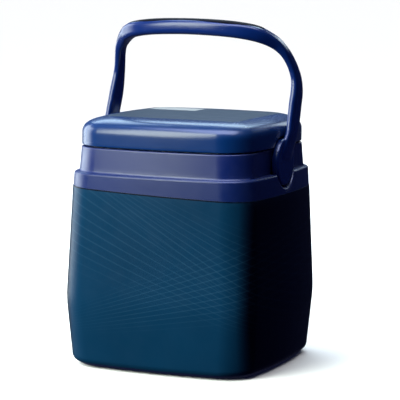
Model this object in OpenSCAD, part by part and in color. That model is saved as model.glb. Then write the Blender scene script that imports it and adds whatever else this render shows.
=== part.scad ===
// Cooler-type cold and heat therapy unit: insulated tub, lift-off lid, swing
// handle, submerged circulation pump and a two-way hose coupling at the back.
// Millimetres. Origin: middle of the unit on the floor. +Z up, front is -Y.

/* [Tub] */
// Half width of the tub at its widest line, side to side
crease_hw = 120.4; // [118:0.1:122]
// Height of the widest line above the floor
crease_z = 76; // [66:1:86]
// Half width the tub wall would have at floor level
foot_hw = 114.3; // [112:0.1:116]
// Half width of the tub at its top shoulder
shoulder_hw = 114.4; // [113.8:0.1:115]
// Height of the shoulder above the floor
shoulder_z = 219.9; // [218.5:0.1:221]
// Extra half depth, front to back, over the half width
depth_extra = 1.5; // [0:0.1:2]
// Radius of the vertical corners in plan
corner_r = 31; // [29:0.5:33]
// Bow of each side in plan, middle against corner
crown = 8.8; // [7.5:0.1:9.5]
// Radius of the rounded bottom edge
bottom_r = 11; // [10:0.5:12]
// Wall thickness of the tub
tub_wall = 2.8; // [2.4:0.1:3.0]
// Height of the printed wrap's top edge
wrap_top = 200.4; // [196:0.1:204]

/* [Collar and lid] */
// Half width of the neck at the shoulder
neck_low_hw = 110; // [109.6:0.1:110.4]
// Half width of the neck at its top
neck_top_hw = 108.1; // [107.8:0.1:108.4]
// Height of the neck's top face
neck_top_z = 247.4; // [247:0.1:247.6]
// Half width of the lid
lid_hw = 107.9; // [107.6:0.1:108.1]
// Height of the lid's lower edge
lid_low_z = 249; // [248.8:0.1:249.4]
// Height of the lid's flat top
lid_top_z = 280.6; // [280:0.1:281.2]
// Height above the lid's lower edge at which the top rounding starts
lid_straight = 13; // [11:0.5:15]
// How far the top rounding reaches in from the lid's side
lid_round = 36; // [30:1:40]

/* [Handle] */
// Height of the handle's pivot axis
pivot_z = 231.5; // [231:0.1:232]
// Radius of the handle's round hub
hub_r = 26.4; // [26:0.1:26.6]
// Radius of the round recess that holds the hub
recess_r = 28.6; // [28.4:0.1:28.8]
// Radius of the pivot pin
pin_r = 5; // [4.8:0.05:5.1]
// Radial running clearance of the hub on its pin
pin_fit = 0.06; // [0.03:0.01:0.09]

/* [Hose coupling] */
// Radius of each hose port
port_r = 4.2; // [4:0.1:4.4]
// Depth of each hose port
port_depth = 14; // [12:0.5:15]
// Distance between the two ports
port_pitch = 24; // [24:0.5:25]
// Height of the port axes
port_z = 229; // [228.5:0.1:229.5]
// Travel of the release button
button_travel = 3; // [2:0.5:3.5]

/* [Hidden] */
$fn = 64;

tub_z0 = 1.2;
cs = 6;      // steps round a corner
ss = 5;      // points along a side
nr = 4 * (cs + 1 + ss);

// ---------- plan outline: rounded square with bowed sides ----------
function bow(x, y, a, b) = [x * (1 - crown / a * pow(y / b, 2)), y * (1 - crown / b * pow(x / a, 2))];
function sx(q) = (q == 0 || q == 3) ? 1 : -1;
function sy(q) = (q < 2) ? 1 : -1;
function plan(a, r) = let (b = a + depth_extra) [
  for (q = [0:3]) each concat(
    [for (k = [0:cs]) let (t = 90 * q + 90 * k / cs)
      bow(sx(q) * (a - r) + r * cos(t), sy(q) * (b - r) + r * sin(t), a, b)],
    [for (k = [1:ss]) let (n = (q + 1) % 4, t = 90 * (q + 1), f = k / (ss + 1),
        x0 = sx(q) * (a - r) + r * cos(t), y0 = sy(q) * (b - r) + r * sin(t),
        x1 = sx(n) * (a - r) + r * cos(t), y1 = sy(n) * (b - r) + r * sin(t))
      bow(x0 + f * (x1 - x0), y0 + f * (y1 - y0), a, b)])];

// A stack of rings [height, half width, corner radius]: capped, or closed on itself
module loft(rings, ringed = false) {
  m = len(rings);
  pts = [for (s = rings) each [for (p = plan(s[1], s[2])) [p[0], p[1], s[0]]]];
  last = ringed ? m - 1 : m - 2;
  sides = [for (i = [0:last]) for (j = [0:nr - 1])
    let (i2 = (i + 1) % m, j2 = (j + 1) % nr) each [
      [i * nr + j, i2 * nr + j, i2 * nr + j2], [i * nr + j, i2 * nr + j2, i * nr + j2]]];
  caps = ringed ? [] : [[for (j = [0:nr - 1]) j], [for (j = [0:nr - 1]) (m - 1) * nr + nr - 1 - j]];
  polyhedron(points = pts, faces = concat(sides, caps), convexity = 8);
}

function wall_hw(z) = z < crease_z
  ? foot_hw + (crease_hw - foot_hw) * z / crease_z
  : crease_hw + (shoulder_hw - crease_hw) * (z - crease_z) / (shoulder_z - crease_z);
// outer wall of the tub set in by d, from the bottom rounding up
function base_rings(d, z0) = [for (t = [0:15:90])
  let (i = (bottom_r - d) * (1 - sin(t)), z = z0 + (bottom_r - d) * (1 - cos(t)))
  [z, wall_hw(z) - d - i, corner_r - d - 0.5 * i]];

module both_sides() { for (s = [0, 1]) mirror([s, 0, 0]) children(); }
module along_x(r, x0, x1, z, y = 0) { translate([x0, y, z]) rotate([0, 90, 0]) cylinder(r = r, h = x1 - x0); }
module along_y(r, y0, y1, x, z) { translate([x, y0, z]) rotate([-90, 0, 0]) cylinder(r = r, h = y1 - y0); }
module up(r, z0, z1, x = 0, y = 0) { translate([x, y, z0]) cylinder(r = r, h = z1 - z0); }

// Round recess for the hub and, above the shoulder, the flat that the arm swings past
module side_space(r, half_y, x0, x1) {
  along_x(r, x0, x1, pivot_z);
  translate([x0, -half_y, shoulder_z + 0.04]) cube([x1 - x0, 2 * half_y, 60]);
}

// ---------- tub ----------
foot_xy = 80;
module outer_tub() color("#1d2f86") difference() {
  loft(concat(
    base_rings(0, tub_z0),
    [[crease_z - 7, wall_hw(crease_z - 7) - 0.05, corner_r], [crease_z, crease_hw - 0.35, corner_r],
     [crease_z + 8, wall_hw(crease_z + 8) - 0.05, corner_r]],
    [for (t = [0:30:90]) [shoulder_z - 3 + 3 * sin(t), shoulder_hw - 3 * (1 - cos(t)), corner_r]],
    [[shoulder_z, 94.6, 24], [shoulder_z - 2.6, 94.6, 24], [shoulder_z - 2.6, shoulder_hw - tub_wall, corner_r - tub_wall],
     [crease_z, crease_hw - 0.4 - tub_wall, corner_r - tub_wall],
     [tub_z0 + bottom_r + 1, wall_hw(tub_z0 + bottom_r) - tub_wall, corner_r - tub_wall],
     [tub_z0 + tub_wall + 2.4, wall_hw(8) - tub_wall - 5, corner_r - 6],
     [tub_z0 + tub_wall, wall_hw(8) - tub_wall - 10, corner_r - 9]]));
  both_sides() along_x(30.5, 93, 130, pivot_z);
  for (x = [-1, 1], y = [-1, 1]) up(9.2, 0, 2.6, x * foot_xy, y * foot_xy);
  for (x = [-1, 1], y = [-1, 1]) up(1.3, 200, 240, x * screw_x, y * screw_y);
}

module wrap_label() color("#17486b") {
  g = 0.1; t = 0.5;
  z1 = wrap_top;
  loft([[14, wall_hw(14) + g, corner_r], [14, wall_hw(14) + t, corner_r],
    [crease_z - 7, wall_hw(crease_z - 7) + t, corner_r], [crease_z, crease_hw - 0.35 + t, corner_r],
    [crease_z + 8, wall_hw(crease_z + 8) + t, corner_r],
    [z1, wall_hw(z1) + t, corner_r], [z1, wall_hw(z1) + g, corner_r],
    [crease_z + 8, wall_hw(crease_z + 8) + g, corner_r], [crease_z, crease_hw - 0.35 + g, corner_r],
    [crease_z - 7, wall_hw(crease_z - 7) + g, corner_r]], true);
}

module insulation_foam() color("#efe6c8") difference() {
  loft([[4.5, wall_hw(8) - tub_wall - 10.5, 20], [7.2, wall_hw(8) - tub_wall - 6, 24],
    [13.5, wall_hw(12) - tub_wall - 0.6, 27], [crease_z, crease_hw - tub_wall - 1, 27],
    [216.9, shoulder_hw - tub_wall - 0.9, 27], [216.9, 93.8, 24.5], [34, 87.7, 24.5],
    [26.2, 86.6, 24], [24.3, 81, 20]]);
  both_sides() along_x(30.9, 95.4, 130, pivot_z);
  for (x = [-1, 1], y = [-1, 1]) up(1.7, 206, 240, x * screw_x, y * screw_y);
}

// Liner wall: inner half width grows with height
function liner_in(z) = 84.4 + (z - 32) * 7.1 / 215;
module inner_liner() color("#e9edf0") difference() {
  loft([[24.8, 79.5, 18], [27, liner_in(27) + 0.6, 22], [33, liner_in(33) + 2.2, 24],
    [218, liner_in(218) + 2.21, 24], [239, liner_in(239) + 2.21, 24],
    [244.9, liner_in(244.9) + 2.2, 24], [244.9, 101, 27], [neck_top_z, 101, 27],
    [neck_top_z, liner_in(247.4), 22],
    [240, liner_in(240) - 0.01, 22], [217, liner_in(217) - 0.01, 22], [35, liner_in(35), 22], [29.5, liner_in(29) - 1.8, 20], [27, 79, 17]]);
  for (x = port_x) along_y(6, 80, 110, x, port_z);
  along_y(3.6, 80, 110, cable_x, port_z);
}

// ---------- collar ----------
screw_x = 99.6;
screw_y = 45;
// Outer form of the collar: the neck, and the tub's wall where the hub cups reach down into it
module collar_form() {
  loft([[150, wall_hw(150) - 0.05, corner_r], [shoulder_z - 3, shoulder_hw - 0.05, corner_r],
    [shoulder_z, shoulder_hw - 3.05, corner_r]]);
  loft([[shoulder_z - 4, neck_low_hw + 0.28, corner_r], [neck_top_z - 1.5, neck_top_hw + 0.1, corner_r],
    [neck_top_z, neck_top_hw - 1.3, corner_r - 1]]);
}
module collar() color("#22338f") difference() {
  union() {
    intersection() {
      collar_form();
      union() {
        loft([[shoulder_z + 0.02, neck_low_hw - 2.6, 28.4], [shoulder_z + 0.02, neck_low_hw + 2, corner_r],
          [neck_top_z + 1, neck_top_hw + 2, corner_r], [neck_top_z + 1, 101.2, 27.2], [244.9, 101.2, 27.2],
          [244.9, liner_in(244.9) + 2.5, 24.3], [242.2, liner_in(244.9) + 2.5, 24.3], [242.2, neck_top_hw - 2.6, 28.4]], true);
        both_sides() intersection() {
          side_space(30.4, 78, 101.4, 125);
          translate([90, -90, 190]) cube([60, 180, neck_top_z - 1.6 - 190]);
        }
      }
    }
    // bosses for the screws that hold the collar to the tub
    for (x = [-1, 1], y = [-1, 1]) up(5, shoulder_z + 0.05, 243, x * screw_x, y * screw_y);
  }
  both_sides() side_space(recess_r, 90, 104, 130);
  both_sides() along_x(pin_r + 0.1, 95, 110, pivot_z);
  translate([coup_x0 - 0.3, 104, shoulder_z + 0.4]) cube([coup_x1 - coup_x0 + 0.6, 14, 22]);
  along_y(jack_r + 0.1, 100, 120, jack_x, port_z + 4);
  for (x = [-1, 1], y = [-1, 1]) up(1.7, 190, 260, x * screw_x, y * screw_y);
  for (x = [-1, 1], y = [-1, 1]) up(3.65, 228, 260, x * screw_x, y * screw_y);
}

module collar_screws() color("silver") for (x = [-1, 1], y = [-1, 1]) {
  up(1.25, 209, 228.1, x * screw_x, y * screw_y);
  difference() {
    up(3.1, 228.1, 230.6, x * screw_x, y * screw_y);
    up(1.3, 229.2, 231, x * screw_x, y * screw_y, $fn = 6);
  }
}

module rubber_feet() color("#202020") for (x = [-1, 1], y = [-1, 1])
  translate([x * foot_xy, y * foot_xy, 0]) rotate_extrude()
    polygon([[0, 0], [7.8, 0], [9, 1.2], [9, 2.6], [0, 2.6]]);

// ---------- handle ----------
module pivot_pins() color("silver") both_sides() {
  along_x(pin_r, 99, 111, pivot_z);
  along_x(8, 96.6, 99, pivot_z);
  along_x(6.4, 99, 101.3, pivot_z);
}
module pivot_washers() color("ivory") both_sides() difference() {
  along_x(10, 104.05, 105.35, pivot_z);
  along_x(pin_r + 0.1, 103, 107, pivot_z);
}

// Right-hand half of the bail: [x, y, z, width, thickness], from the hub to the middle
bail_half = [
  [110.6, 3, 238, 34, 7.7], [111.9, 9.6, 250, 29, 7.3],
  [113, 17.2, 263, 27.8, 7.3], [112.6, 24.3, 279.4, 26.7, 7.8], [112.1, 29.7, 293.8, 25.7, 8.2],
  [111.9, 34.4, 307.4, 24, 8.3], [110.9, 35.7, 320.1, 21.1, 7.9], [108.7, 33.1, 332.1, 18, 7.5],
  [105.6, 27.7, 343.5, 15.8, 7.6], [101.2, 20.8, 353.7, 15.6, 8.7], [94, 14, 362.8, 18, 10.7],
  [85.4, 6, 369.3, 21.4, 13], [75.5, -1.6, 374, 24.6, 15], [60.9, -8.2, 377, 27, 16.4],
  [41.6, -12.1, 378.6, 28.5, 16.8], [21, -14, 379.7, 29, 17], [0, -14.4, 380.1, 29.2, 17]];
nb = len(bail_half);
bail_full = concat(bail_half, [for (i = [nb - 2:-1:0]) let (p = bail_half[i]) [-p[0], p[1], p[2], p[3], p[4]]]);
nf = len(bail_full);
// smooth curve through the stations, two steps between each pair
function cr4(a, b, c, d, t) = 0.5 * ((2 * b) + (c - a) * t + (2 * a - 5 * b + 4 * c - d) * t * t + (3 * b - a - 3 * c + d) * t * t * t);
function at_i(i) = bail_full[max(0, min(nf - 1, i))];
bail_path = [for (i = [0:nf - 2]) each [for (k = [0:1])
    cr4(at_i(i - 1), at_i(i), at_i(i + 1), at_i(i + 2), k / 2)], at_i(nf - 1)];
function unit(v) = v / norm(v);
function pos(p) = [p[0], p[1], p[2]];
function tang(P, i) = unit(pos(P[min(len(P) - 1, i + 1)]) - pos(P[max(0, i - 1)]));
function wide(t) = unit([0, 1, 0] - t[1] * t);
function sgn_pow(v, e) = sign(v) * pow(abs(v), e);

// Sweep of rounded rectangular sections; lift moves the section along its own thin way
module sweep(P, ns = 16, e = 0.62, dw = 0, dt = 0, lift = []) {
  m = len(P);
  pts = [for (i = [0:m - 1]) let (t = tang(P, i), w = wide(t), n = cross(t, w), c = pos(P[i]) + n * (len(lift) > 0 ? lift[i] : 0))
    each [for (j = [0:ns - 1]) let (g = 360 * j / ns)
      c + w * ((P[i][3] / 2 + dw) * sgn_pow(cos(g), e)) + n * ((P[i][4] / 2 + dt) * sgn_pow(sin(g), e))]];
  sides = [for (i = [0:m - 2]) for (j = [0:ns - 1]) let (j2 = (j + 1) % ns) each [
    [i * ns + j, (i + 1) * ns + j2, i * ns + j2], [i * ns + j, (i + 1) * ns + j, (i + 1) * ns + j2]]];
  caps = [[for (j = [0:ns - 1]) j], [for (j = [0:ns - 1]) (m - 1) * ns + ns - 1 - j]];
  polyhedron(points = pts, faces = concat(sides, caps), convexity = 8);
}

// The soft strip let into the top of the grip
pad_path = [for (i = [0:24]) let (x = 81 - 6.75 * i, k = x / 72)
  [x, -14.4 + 10.4 * k * k * k * k, 380.1 - 2.6 * k * k - 2.4 * pow(k, 4) - 0.35 * pow(k, 12), 21 - 5 * pow(abs(k), 6), 5.2]];
module pad_solid(g = 0) {
  sweep(pad_path, ns = 16, e = 0.62, dw = g, dt = g, lift = [for (p = pad_path) 0.9 * pow(p[0] / 72, 4) - 6.8]);
}
module handle_bail() color("#20308c") difference() {
  union() {
    sweep(bail_path);
    both_sides() along_x(hub_r, 105.5, 113.5, pivot_z);
  }
  both_sides() along_x(pin_r + pin_fit, 100, 111.6, pivot_z);
  pad_solid(0.12);
}
module grip_pad() color("#15171c") pad_solid();

// ---------- lid ----------
function lid_rings(d, n = 8) = [for (k = [0:n]) let (t = 90 * k / n, e = 0.8,
    i = lid_round * (1 - pow(cos(t), e)), h = (lid_top_z - lid_low_z - lid_straight))
  [lid_low_z + lid_straight + h * pow(sin(t), e) - d, lid_hw - d - i * (1 - d / 60), max(9, corner_r - d - 0.55 * i)]];
function rev(v) = [for (i = [len(v) - 1:-1:0]) v[i]];
lid_wall = 2.6;
module lid_solid() loft(concat([[lid_low_z, lid_hw - 0.6, corner_r], [lid_low_z + 1, lid_hw, corner_r]], lid_rings(0)));
module lid_shell() color("#12349a") difference() {
  union() {
    loft(concat(rev(lid_rings(lid_wall)), [[lid_low_z, lid_hw - lid_wall, corner_r - lid_wall],
      [lid_low_z, lid_hw - 0.6, corner_r], [lid_low_z + 1, lid_hw, corner_r]], lid_rings(0)));
    both_sides() intersection() {
      along_x(recess_r + 2.4, 101.4, 125, pivot_z);
      translate([90, -60, lid_low_z]) cube([60, 120, 40]);
      lid_solid();
    }
  }
  both_sides() along_x(recess_r + 0.2, 104, 130, pivot_z);
}
module lid_foam() color("#f4efdd") difference() {
  loft(concat([[238.4, 80, 17], [241, 84.6, 20], [252.8, 85, 20], [252.8, lid_hw - lid_wall - 0.5, 27.5]],
    [for (r = lid_rings(lid_wall + 0.4)) r]));
  both_sides() along_x(recess_r + 2.7, 101, 130, pivot_z);
}
module lid_inner_panel() color("#dfe5ec") difference() {
  loft([[236, 81, 18], [239, 87, 22], [250.2, 87.6, 22], [250.2, lid_hw - lid_wall - 0.2, 27.6], [252.6, lid_hw - lid_wall - 0.2, 27.6],
    [252.6, 85.4, 20.4], [241, 85, 20.4], [238.2, 80.6, 17]]);
  both_sides() along_x(recess_r + 2.7, 101, 130, pivot_z);
}
module lid_gasket() color("#2a2c30") loft([[neck_top_z + 0.02, 93, 23], [neck_top_z + 0.02, 98.6, 26], [250.15, 98.2, 26], [250.15, 93.4, 23]], true);
label_hw = 80;
label_hd = 77;
module lid_label() color("#5b6f8c") translate([0, 0, lid_top_z]) linear_extrude(0.35) union() {
  r = 12;
  square([2 * label_hw - 2 * r, 2 * label_hd], center = true);
  square([2 * label_hw, 2 * label_hd - 2 * r], center = true);
  for (x = [-1, 1], y = [-1, 1]) translate([x * (label_hw - r), y * (label_hd - r)]) circle(r = r);
}

// ---------- hose coupling ----------
port_x = [-18 - port_pitch / 2, -18 + port_pitch / 2];
coup_x0 = -41;
coup_x1 = 5;
coup_face = 119.5;
coup_z0 = shoulder_z + 0.7;
coup_z1 = 241.6;
but_x0 = -23;
but_x1 = -13;
barb_r = 4.98;
module hose_coupling() color("#2b2f36") difference() {
  union() {
    translate([coup_x0, 101, coup_z0]) cube([coup_x1 - coup_x0, coup_face - 101, coup_z1 - coup_z0]);
    translate([coup_x0 - 3, 111.9, coup_z0]) cube([coup_x1 - coup_x0 + 6, 1.8, coup_z1 - coup_z0 + 2]);
    for (x = port_x) along_y(6.4, 119, 120.4, x, port_z);
  }
  for (x = port_x) {
    along_y(port_r, 120.4 - port_depth, 125, x, port_z);
    // socket for the barbed fitting, from behind
    along_y(barb_r + 0.02, 100, 120.4 - port_depth, x, port_z);
    // groove for the sealing ring
    along_y(port_r + 1.1, 109, 111, x, port_z);
  }
  translate([but_x0 - 0.15, 113.9, 226]) cube([but_x1 - but_x0 + 0.3, 4.4, 30]);
  for (x = [coup_x0 - 0.9 + 4, coup_x1 - 3.1]) along_y(1.2, 95, 110, x, 238.6);
}
// Barbed fittings pressed into the block from behind, one for each tube
module port_barbs() color("ivory") for (x = port_x) difference() {
  union() {
    along_y(barb_r, 101, 120.4 - port_depth, x, port_z);
    along_y(3.2, 88, 102, x, port_z);
    along_y(3.5, 89, 91, x, port_z);
  }
  along_y(1.9, 80, 120, x, port_z);
}
module port_o_rings() color("#1b1b1b") for (x = port_x) translate([x, 110, port_z]) rotate([90, 0, 0])
  rotate_extrude() translate([port_r + 0.55, 0]) circle(r = 0.5, $fn = 24);
module coupling_screws() color("silver") for (x = [coup_x0 + 3.1, coup_x1 - 3.1]) {
  along_y(1.15, 98.6, 109, x, 238.6);
  along_y(2.6, 98.6, 100.9, x, 238.6);
}
module release_button() color("#3b4048") {
  translate([but_x0, 114.05, 236.2]) cube([but_x1 - but_x0, 4.1, 6.6]);
  translate([but_x0 + 1, 114.05, 242.8]) cube([but_x1 - but_x0 - 2, 4.1, 1.2]);
  for (k = [0:2]) translate([but_x0 + 1.6 + k * 2.8, 114.05, 244]) cube([1.2, 4.1, 0.5]);
}
// Compression spring under the button
spr_r = 1.35;
spr_w = 0.3;
spr_n = 5;
module button_spring() color("lightgray") {
  st = spr_n * 10; ns = 6; z0 = 226.4; z1 = 235.8;
  pts = [for (i = [0:st]) let (a = 36 * i, z = z0 + (z1 - z0) * i / st, c = [spr_r * cos(a), spr_r * sin(a), z])
    each [for (j = [0:ns - 1]) let (g = 60 * j) c + [cos(a), sin(a), 0] * spr_w * cos(g) + [0, 0, 1] * spr_w * sin(g)]];
  translate([(but_x0 + but_x1) / 2, 116.1, 0]) polyhedron(points = pts, faces = concat(
    [for (i = [0:st - 1]) for (j = [0:ns - 1]) let (k = (j + 1) % ns) each [
      [i * ns + j, i * ns + k, (i + 1) * ns + k], [i * ns + j, (i + 1) * ns + k, (i + 1) * ns + j]]],
    [[for (j = [0:ns - 1]) ns - 1 - j], [for (j = [0:ns - 1]) st * ns + j]]), convexity = 10);
}

// ---------- power inlet ----------
jack_x = 40;
jack_r = 5.6;
cable_x = 20;
module dc_jack() color("#17181b") {
  difference() {
    union() {
      along_y(jack_r, 99, 111, jack_x, port_z + 4);
      along_y(8, 109.9, 112.4, jack_x, port_z + 4);
    }
    along_y(2.8, 102.4, 115, jack_x, port_z + 4);
  }
  along_y(1.05, 102, 111.6, jack_x, port_z + 4);
  for (x = [-2, 2]) translate([jack_x + x - 0.8, 95.6, port_z + 3.6]) cube([1.6, 3.6, 0.8]);
}
module jack_nut() color("silver") difference() {
  along_y(8.2, 102.6, 105.2, jack_x, port_z + 4, $fn = 6);
  along_y(jack_r + 0.05, 100, 110, jack_x, port_z + 4);
}

// ---------- pump, standing on the liner floor ----------
pump_y = 44;
floor_z = 27;
out_x = port_x[0];
ret_x = port_x[1];
module strainer_cage() color("#3a4658") translate([0, pump_y, 0]) difference() {
  up(30, floor_z + 0.1, 47);
  up(28, floor_z + 2.1, 50);
  for (k = [0:11]) rotate(30 * k) translate([20, -2.2, floor_z + 4]) cube([14, 4.4, 12]);
}
module filter_foam() color("#58606a") translate([0, pump_y, 0]) difference() {
  up(27.6, floor_z + 2.2, 46);
  up(14, floor_z, 50);
}
module volute_cover() color("#2b3440") translate([0, pump_y, 0]) difference() {
  union() { up(29.6, 47.1, 49.6); up(9, 43, 47.2); }
  up(6, 40, 52);
  for (a = screw_a) rotate(a) up(1.6, 40, 60, 22.5);
  for (a = screw_a) rotate(a) up(3.1, 46, 48.2, 22.5);
}
screw_a = [30, 150, 270];
module pump_housing() color("#232a35") translate([0, pump_y, 0]) difference() {
  union() {
    up(26, 49.7, 60);
    up(20.5, 60, 88);
    translate([out_x - 5, -7, 49.7]) cube([5 - out_x, 14, 12]);
    up(3.2, 60, 74, out_x);
    up(3.5, 71, 73, out_x);
  }
  up(17, 49, 57.6);
  up(9, 57, 80);
  difference() { up(18.6, 61, 90); up(11, 60, 83); }
  up(1.5, 79, 83, 0, 0);
  translate([out_x, 0, 54]) rotate([0, 90, 0]) cylinder(r = 2.4, h = -out_x);
  up(2.2, 54, 80, out_x);
  for (a = screw_a) rotate(a) up(1.2, 45, 57, 22.5);
}
module pump_cap() color("#303948") translate([0, pump_y, 0]) {
  up(20.5, 88.1, 90.6);
  up(18.4, 84.6, 88.2);
}
module motor_stator() color("#b06a32") translate([0, pump_y, 0]) difference() {
  up(18.2, 62, 82.6);
  up(11.3, 60, 84);
}
module pump_shaft() color("white") translate([0, pump_y, 0]) up(1.5, 51.4, 82.5);
module impeller() color("#e6e8ea") translate([0, pump_y, 0]) difference() {
  union() {
    up(8.2, 57.3, 78.6);
    up(14.5, 55.4, 57.3);
    for (k = [0:5]) rotate(60 * k) translate([4, -0.8, 51.2]) cube([10.2, 1.6, 4.4]);
    up(4.6, 51.2, 55.6);
  }
  up(1.56, 50, 80);
}
module pump_screws() color("silver") translate([0, pump_y, 0]) for (a = screw_a) rotate(a) {
  up(1.15, 46.2, 56.4, 22.5);
  up(2.8, 46.2, 48.1, 22.5);
}
module pump_bracket() color("#8f979f") difference() {
  union() {
    translate([-12, pump_y - 12, 90.7]) cube([24, 36, 2]);
    translate([-12, pump_y + 22, 90.7]) cube([24, 2, 90]);
    translate([-12, pump_y + 22, 178.7]) cube([24, liner_in(178) + depth_extra - 0.4 - pump_y - 22, 2]);
  }
  up(2, 85, 95, 0, pump_y);
}

// ---------- tubes ----------
module bend(cx_y, cz, r, x, rad) {
  // quarter bend in the Y-Z plane: from vertical at y = cx_y - r to horizontal at z = cz + r
  translate([x, cx_y, cz]) rotate([90, 0, 90]) translate([0, 0, 0])
    rotate([0, 0, 90]) rotate_extrude(angle = 90) translate([r, 0]) circle(r = rad, $fn = 32);
}
module supply_tube() color("#cfd6dd") difference() {
  union() { up(4.5, 62.3, port_z - 18, out_x, pump_y); bend(pump_y + 18, port_z - 18, 18, out_x, 4.5); along_y(4.5, pump_y + 18, 98.5, out_x, port_z); }
  union() { up(3.55, 60, port_z - 18, out_x, pump_y); bend(pump_y + 18, port_z - 18, 18, out_x, 3.55); along_y(3.55, pump_y + 18, 101, out_x, port_z); }
}
module return_tube() color("#cfd6dd") difference() {
  union() { up(4.5, 150, port_z - 18, ret_x, 58); bend(76, port_z - 18, 18, ret_x, 4.5); along_y(4.5, 76, 98.5, ret_x, port_z); }
  union() { up(3.55, 149, port_z - 18, ret_x, 58); bend(76, port_z - 18, 18, ret_x, 3.55); along_y(3.55, 76, 101, ret_x, port_z); }
}
module tube_grommets() color("#2a2c30") {
  for (x = port_x) difference() {
    union() { along_y(5.95, 91.6, 96.4, x, port_z); along_y(7.6, 95.9, 97.4, x, port_z); }
    along_y(4.6, 90, 100, x, port_z);
  }
  difference() {
    union() { along_y(3.5, 91.6, 96.4, cable_x, port_z); along_y(5, 95.9, 97.4, cable_x, port_z); }
    along_y(2.1, 90, 100, cable_x, port_z);
  }
}

// Lead from the inlet to the motor, held along its whole way
cable_pts = [[17, 52, 92.7], [17, 53, 98], [18, 56, 107], [19, 61, 120], [20, 67, 137], [20, 72, 156], [20, 75, 180],
  [20, 77, 205], [20, 79, 218], [20, 84, 226], [20, 91, 229], [20, 99, 229], [22, 101.5, 229.4], [26, 101.8, 230], [31, 99.2, 231], [33.5, 97, 231.6]];
module tube_along(P, r, ns = 8) {
  m = len(P);
  pts = [for (i = [0:m - 1]) let (t = unit(P[min(m - 1, i + 1)] - P[max(0, i - 1)]),
      u = unit(cross(t, abs(t[0]) < 0.9 ? [1, 0, 0] : [0, 1, 0])), v = cross(t, u))
    each [for (j = [0:ns - 1]) P[i] + r * (u * cos(360 * j / ns) + v * sin(360 * j / ns))]];
  polyhedron(points = pts, faces = concat(
    [for (i = [0:m - 2]) for (j = [0:ns - 1]) let (k = (j + 1) % ns) each [
      [i * ns + j, (i + 1) * ns + k, i * ns + k], [i * ns + j, (i + 1) * ns + j, (i + 1) * ns + k]]],
    [[for (j = [0:ns - 1]) j], [for (j = [0:ns - 1]) (m - 1) * ns + ns - 1 - j]]), convexity = 10);
}
module pump_cable() color("#1c1d20") tube_along(cable_pts, 1.9);

outer_tub();
wrap_label();
insulation_foam();
inner_liner();
collar();
collar_screws();
rubber_feet();
pivot_pins();
pivot_washers();
handle_bail();
grip_pad();
lid_shell();
lid_foam();
lid_inner_panel();
lid_gasket();
lid_label();
hose_coupling();
port_barbs();
port_o_rings();
coupling_screws();
release_button();
button_spring();
dc_jack();
jack_nut();
pump_cable();
strainer_cage();
filter_foam();
volute_cover();
pump_housing();
pump_cap();
motor_stator();
pump_shaft();
impeller();
pump_screws();
pump_bracket();
supply_tube();
return_tube();
tube_grommets();
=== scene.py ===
import bpy
import bmesh
import math
from mathutils import Vector, Matrix
from mathutils.bvhtree import BVHTree


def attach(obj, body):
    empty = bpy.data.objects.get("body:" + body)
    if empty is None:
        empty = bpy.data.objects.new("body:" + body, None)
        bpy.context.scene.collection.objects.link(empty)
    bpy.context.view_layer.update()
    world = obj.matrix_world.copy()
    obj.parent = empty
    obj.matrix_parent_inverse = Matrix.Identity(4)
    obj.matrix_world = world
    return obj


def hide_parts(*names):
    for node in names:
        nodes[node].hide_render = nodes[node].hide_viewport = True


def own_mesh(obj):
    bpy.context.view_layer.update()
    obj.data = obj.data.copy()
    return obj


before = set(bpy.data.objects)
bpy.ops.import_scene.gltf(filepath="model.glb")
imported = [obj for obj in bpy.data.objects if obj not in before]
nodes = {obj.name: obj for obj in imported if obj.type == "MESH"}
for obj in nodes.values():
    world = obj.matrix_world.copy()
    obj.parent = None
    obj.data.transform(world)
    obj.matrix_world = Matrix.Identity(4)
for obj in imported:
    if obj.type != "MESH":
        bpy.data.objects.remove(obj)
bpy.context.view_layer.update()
scene = bpy.context.scene
scene.view_settings.view_transform = "Standard"
scene.view_settings.look = "None"

# ------------------------------------------------------------------ camera
cam_data = bpy.data.cameras.new("camera")
cam_data.sensor_width = 36.0
cam_data.lens = 185.99
cam_data.clip_start, cam_data.clip_end = 0.05, 60.0
cam = bpy.data.objects.new("camera", cam_data)
scene.collection.objects.link(cam)
right = Vector((0.91814, 0.39610, 0.01039)).normalized()
back = Vector((0.39169, -0.91125, 0.12724)).normalized()
upv = back.cross(right).normalized()
right = upv.cross(back).normalized()
cam.matrix_world = Matrix(((right.x, upv.x, back.x, 0.93213), (right.y, upv.y, back.y, -2.14793),
                           (right.z, upv.z, back.z, 0.48254), (0, 0, 0, 1)))
scene.camera = cam

# ------------------------------------------------------------------ sizes, mm
CREASE_HW, CREASE_Z, FOOT_HW, SHOULDER_HW, SHOULDER_Z = 120.4, 76.0, 114.3, 114.4, 219.9
EXTRA, CORNER_R, CROWN, BOTTOM_R, WALL = 1.5, 31.0, 8.8, 11.0, 2.8
TUB_Z0, WRAP_TOP = 1.2, 200.4
NECK_LOW, NECK_TOP, NECK_Z = 110.0, 108.1, 247.4
LID_HW, LID_LOW, LID_TOP, LID_STRAIGHT, LID_ROUND, LID_WALL = 107.9, 249.0, 280.6, 13.0, 36.0, 2.6
PIVOT_Z, HUB_R, RECESS_R = 231.5, 26.4, 28.6


def lerp(a, b, t):
    return a + (b - a) * t


def wall(z):
    """Half width of the tub's outer wall, its widest line softly rounded."""
    up = FOOT_HW + (CREASE_HW - FOOT_HW) * z / CREASE_Z
    down = CREASE_HW + (SHOULDER_HW - CREASE_HW) * (z - CREASE_Z) / (SHOULDER_Z - CREASE_Z)
    k = 1.7
    m = min(up, down)
    return m - math.log(math.exp(-k * (up - m)) + math.exp(-k * (down - m))) / k


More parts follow.
